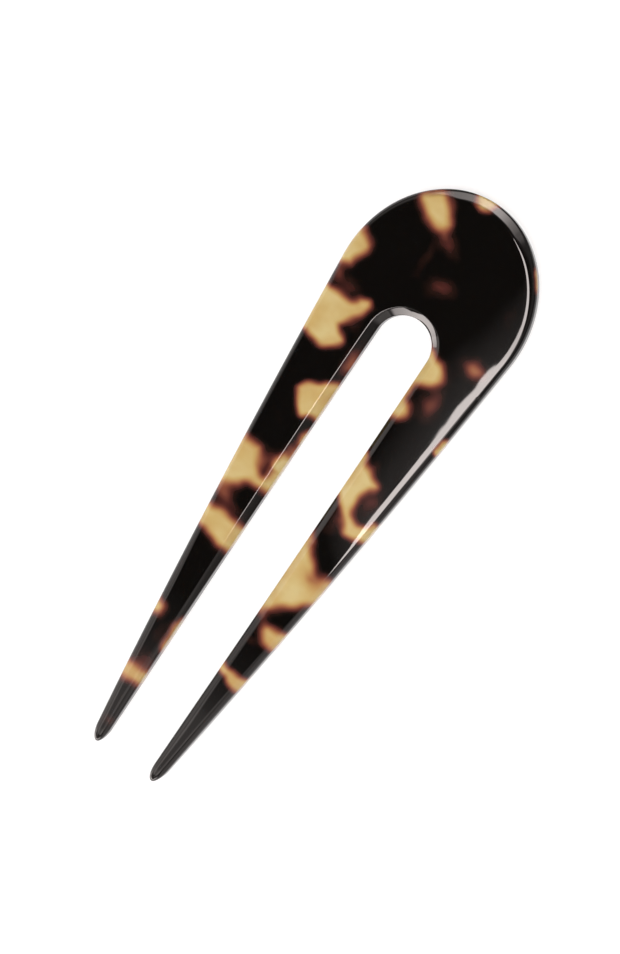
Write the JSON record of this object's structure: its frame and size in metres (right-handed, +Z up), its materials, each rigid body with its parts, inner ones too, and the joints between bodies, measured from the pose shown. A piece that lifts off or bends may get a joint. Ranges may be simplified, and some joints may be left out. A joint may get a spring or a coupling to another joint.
{
  "type": "hairpin",
  "caption": "Flat two-prong hairpin with a round head, a U-shaped slot and long tapering prongs, cut from tortoiseshell acetate with polished bevelled edges.",
  "frame": {"origin": "under the middle of the pin, on its flat underside", "axes": "+X across the head, +Y from the prong tips to the crown, +Z up out of the upper face"},
  "size_m": [0.0344, 0.115, 0.004],
  "materials": {
    "tortoiseshell": "tumble-polished cellulose acetate, amber clouded with near-black brown"
  },
  "bodies": {
    "root": {"hairpin": "tortoiseshell"}
  },
  "joints": []
}
